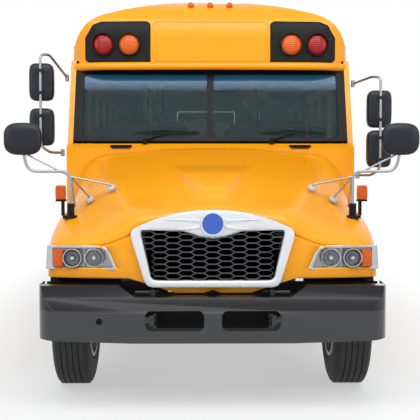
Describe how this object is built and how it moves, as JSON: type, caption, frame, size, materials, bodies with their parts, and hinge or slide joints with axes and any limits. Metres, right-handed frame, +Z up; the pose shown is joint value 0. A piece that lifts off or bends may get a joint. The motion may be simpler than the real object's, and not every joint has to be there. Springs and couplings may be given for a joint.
{
  "type": "school bus",
  "caption": "Full-size conventional school bus: hinged hood, steered and rolling wheels, two-leaf entrance door, rear emergency door and swing-out stop sign.",
  "frame": {"origin": "on the road under the middle of the bus's overall box", "axes": "-Y is the way the bus faces, +X its left (driver's) side, +Z up"},
  "size_m": [3.08, 9.3, 3.14],
  "materials": {
    "body_paint": "school-bus yellow gloss",
    "chassis_black": "semi-gloss black",
    "black_trim": "fine-grained black",
    "steel": "bare steel",
    "wheel_paint": "white-grey wheel paint",
    "tyre_rubber": "ribbed black rubber",
    "glass": "clear tinted glass",
    "bumper_black": "gloss black",
    "surround_paint": "silver-white gloss",
    "badge_blue": "blue enamel, blank",
    "lamp_red": "red lens",
    "lamp_amber": "amber lens",
    "lamp_clear": "clear lens",
    "mirror_shell": "black shell",
    "interior_dark": "dark moulded plastic",
    "floor_rubber": "ribbed rubber floor",
    "seat_vinyl": "blue vinyl",
    "stop_red": "red reflective sheet"
  },
  "bodies": {
    "body": {"frame_rail_left": "chassis_black", "frame_rail_right": "chassis_black", "crossmembers": "chassis_black", "engine": "steel", "gearbox": "steel", "drive_shaft": "steel", "front_axle": "chassis_black", "rear_axle": "chassis_black", "leaf_springs": "chassis_black", "fuel_tank": "chassis_black", "exhaust": "steel", "front_bumper": "bumper_black", "rear_bumper": "bumper_black", "floor_plate": "floor_rubber", "cowl": "body_paint", "windshield_frame": "black_trim", "windshield": "glass", "side_wall_left": "body_paint", "side_wall_right": "body_paint", "side_windows": "glass", "roof": "body_paint", "front_cap": "body_paint", "rear_wall": "body_paint", "warning_lamps": "lamp_red", "tail_lamps": "lamp_red", "mirrors_left": "mirror_shell", "mirrors_right": "mirror_shell", "wipers": "black_trim", "dashboard": "interior_dark", "steering_wheel": "interior_dark", "driver_seat": "seat_vinyl", "seat_frames": "steel", "seat_cushions": "seat_vinyl", "seat_backs": "seat_vinyl", "stepwell": "floor_rubber", "barriers": "seat_vinyl"},
    "hood_body": {"hood": "body_paint", "grille_surround": "surround_paint", "grille": "black_trim", "badge": "badge_blue", "headlamps": "lamp_clear", "fender_lamps": "lamp_amber", "crossview_left": "mirror_shell", "crossview_right": "mirror_shell"},
    "steer_left": {"knuckle_left": "steel"},
    "steer_right": {"knuckle_right": "steel"},
    "wheel_front_left": {"front_tyre_left": "tyre_rubber", "front_rim_left": "wheel_paint"},
    "wheel_front_right": {"front_tyre_right": "tyre_rubber", "front_rim_right": "wheel_paint"},
    "wheels_rear_left": {"rear_tyres_left": "tyre_rubber", "rear_rims_left": "wheel_paint"},
    "wheels_rear_right": {"rear_tyres_right": "tyre_rubber", "rear_rims_right": "wheel_paint"},
    "door_leaf_front": {"entrance_door_front": "black_trim", "entrance_glass_front": "glass"},
    "door_leaf_rear": {"entrance_door_rear": "black_trim", "entrance_glass_rear": "glass"},
    "emergency_door": {"rear_door": "body_paint", "rear_door_glass": "glass"},
    "stop_sign": {"stop_arm": "stop_red"}
  },
  "joints": [
    {"name": "hood_tilt", "type": "hinge", "parent": "body", "child": "hood_body", "pos_m": [0, -4.435, 0.8], "axis": [1, 0, 0], "range_deg": [0, 55]},
    {"name": "steering_left", "type": "hinge", "parent": "body", "child": "steer_left", "pos_m": [0.88, -3.72, 0.505], "axis": [0, 0, 1], "range_deg": [-38, 38]},
    {"name": "steering_right", "type": "hinge", "parent": "body", "child": "steer_right", "pos_m": [-0.88, -3.72, 0.505], "axis": [0, 0, 1], "range_deg": [-38, 38]},
    {"name": "front_wheel_left_spin", "type": "hinge", "parent": "steer_left", "child": "wheel_front_left", "pos_m": [1.04, -3.72, 0.505], "axis": [1, 0, 0], "continuous": true},
    {"name": "front_wheel_right_spin", "type": "hinge", "parent": "steer_right", "child": "wheel_front_right", "pos_m": [-1.04, -3.72, 0.505], "axis": [1, 0, 0], "continuous": true},
    {"name": "rear_wheels_left_spin", "type": "hinge", "parent": "body", "child": "wheels_rear_left", "pos_m": [1.07, 1.792, 0.505], "axis": [1, 0, 0], "continuous": true},
    {"name": "rear_wheels_right_spin", "type": "hinge", "parent": "body", "child": "wheels_rear_right", "pos_m": [-1.07, 1.792, 0.505], "axis": [1, 0, 0], "continuous": true},
    {"name": "entrance_front_leaf", "type": "hinge", "parent": "body", "child": "door_leaf_front", "pos_m": [-1.23, -2.64, 1.4], "axis": [0, 0, 1], "range_deg": [0, 90]},
    {"name": "entrance_rear_leaf", "type": "hinge", "parent": "body", "child": "door_leaf_rear", "pos_m": [-1.23, -1.94, 1.4], "axis": [0, 0, -1], "range_deg": [0, 90]},
    {"name": "emergency_door_hinge", "type": "hinge", "parent": "body", "child": "emergency_door", "pos_m": [-0.48, 4.61, 1.8], "axis": [0, 0, 1], "range_deg": [0, 105]},
    {"name": "stop_arm_hinge", "type": "hinge", "parent": "body", "child": "stop_sign", "pos_m": [1.24, -2.44, 1.42], "axis": [0, 0, -1], "range_deg": [0, 90]}
  ],
  "couplings": [
    {"joint": "steering_right", "follows": "steering_left", "ratio": 1},
    {"joint": "entrance_rear_leaf", "follows": "entrance_front_leaf", "ratio": 1}
  ]
}
